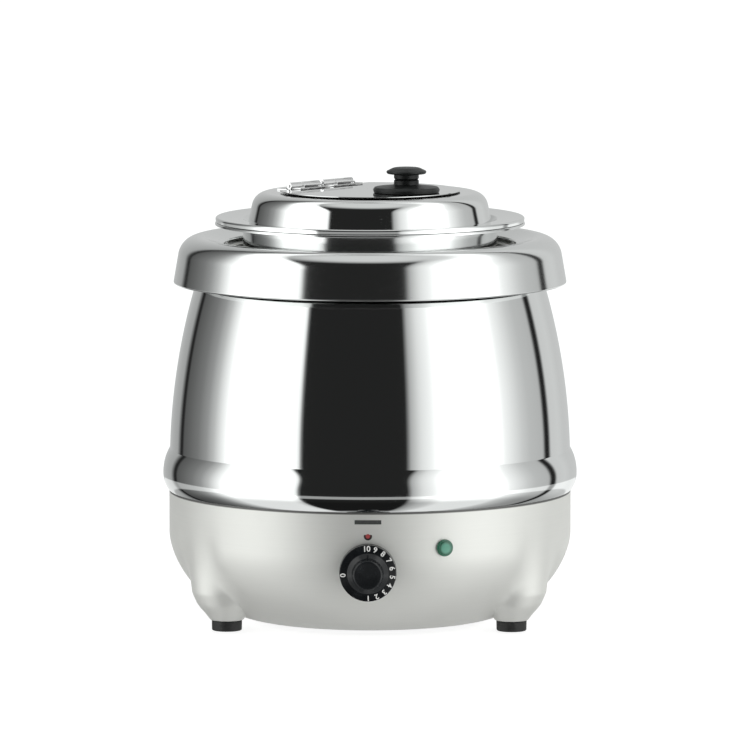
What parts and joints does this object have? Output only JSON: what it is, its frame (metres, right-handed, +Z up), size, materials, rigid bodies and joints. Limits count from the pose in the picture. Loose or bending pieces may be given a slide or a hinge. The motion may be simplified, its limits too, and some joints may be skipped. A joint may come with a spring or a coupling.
{
  "type": "soup kettle",
  "caption": "Countertop electric soup kettle: belly-shaped polished steel casing, lift-out pot in a water pan, lid with hinged flap and knob, thermostat dial, pilot lamp, short rubber feet.",
  "frame": {"origin": "on the floor plane under the feet, on the vertical axis of the casing", "axes": "+Z up, -Y towards the dial (front), +X to the user's right when facing the dial"},
  "size_m": [0.34, 0.375, 0.3757],
  "materials": {
    "polished_steel": "mirror-polished stainless steel",
    "satin_steel": "satin stainless steel",
    "zinc_steel": "zinc-plated steel",
    "aluminium": "matt aluminium",
    "copper": "drawn copper tube",
    "black_plastic": "semi-gloss black moulded plastic",
    "black_rubber": "matt black rubber",
    "green_lens": "translucent green plastic lens",
    "ceramic": "steatite and pale phenolic"
  },
  "bodies": {
    "casing": {"base_shell": "satin_steel", "water_pan": "satin_steel", "barrel_shell": "polished_steel", "collar_ring": "polished_steel", "bottom_cover": "zinc_steel", "cover_screw_1": "zinc_steel", "cover_screw_2": "zinc_steel", "cover_screw_3": "zinc_steel", "foot_screw_rear": "zinc_steel", "foot_screw_right": "zinc_steel", "foot_screw_left": "zinc_steel", "foot_nut_rear": "zinc_steel", "foot_nut_right": "zinc_steel", "foot_nut_left": "zinc_steel", "heating_element": "zinc_steel", "heater_clamp": "zinc_steel", "heater_stud": "zinc_steel", "heater_nut": "zinc_steel", "shield_nut": "zinc_steel", "thermostat_plate": "zinc_steel", "thermostat_spacer_left": "zinc_steel", "thermostat_spacer_right": "zinc_steel", "thermostat_screw_left": "zinc_steel", "thermostat_screw_right": "zinc_steel", "bulb_clip": "zinc_steel", "terminal_bracket": "zinc_steel", "terminal_screw": "zinc_steel", "earth_stud": "zinc_steel", "earth_nut": "zinc_steel", "heater_plate": "aluminium", "heat_shield": "aluminium", "capillary_tube": "copper", "thermostat_bulb": "copper", "pilot_lamp_body": "black_plastic", "pilot_lamp_nut": "black_plastic", "cable_gland": "black_plastic", "gland_nut": "black_plastic", "foot_rear": "black_rubber", "foot_right": "black_rubber", "foot_left": "black_rubber", "pilot_lamp_lens": "green_lens", "thermal_cutout": "ceramic", "thermostat_body": "ceramic", "terminal_block": "ceramic"},
    "soup_pot": {"inner_pot": "polished_steel"},
    "lid": {"lid_ring": "polished_steel", "hinge_fixed_leaf_left": "polished_steel", "hinge_fixed_leaf_right": "polished_steel", "hinge_pin_left": "polished_steel", "hinge_pin_right": "polished_steel"},
    "flap": {"lid_flap": "polished_steel", "hinge_moving_leaf_left": "polished_steel", "hinge_moving_leaf_right": "polished_steel", "knob_base": "black_plastic", "knob_cap": "black_plastic", "knob_screw": "zinc_steel"},
    "dial": {"control_dial": "black_plastic", "dial_shaft": "zinc_steel"}
  },
  "joints": [
    {"name": "pot_lift", "type": "slide", "parent": "casing", "child": "soup_pot", "axis": [0, 0, 1], "range_m": [0, 0.28]},
    {"name": "lid_lift", "type": "slide", "parent": "soup_pot", "child": "lid", "axis": [0, 0, 1], "range_m": [0, 0.1]},
    {"name": "flap_hinge", "type": "hinge", "parent": "lid", "child": "flap", "pos_m": [-0.04151, 0.03608, 0.357], "axis": [-0.6561, -0.7547, 0], "range_deg": [0, 110]},
    {"name": "dial_turn", "type": "hinge", "parent": "casing", "child": "dial", "pos_m": [0, -0.166, 0.061], "axis": [0, -1, 0], "range_deg": [0, 270]}
  ]
}
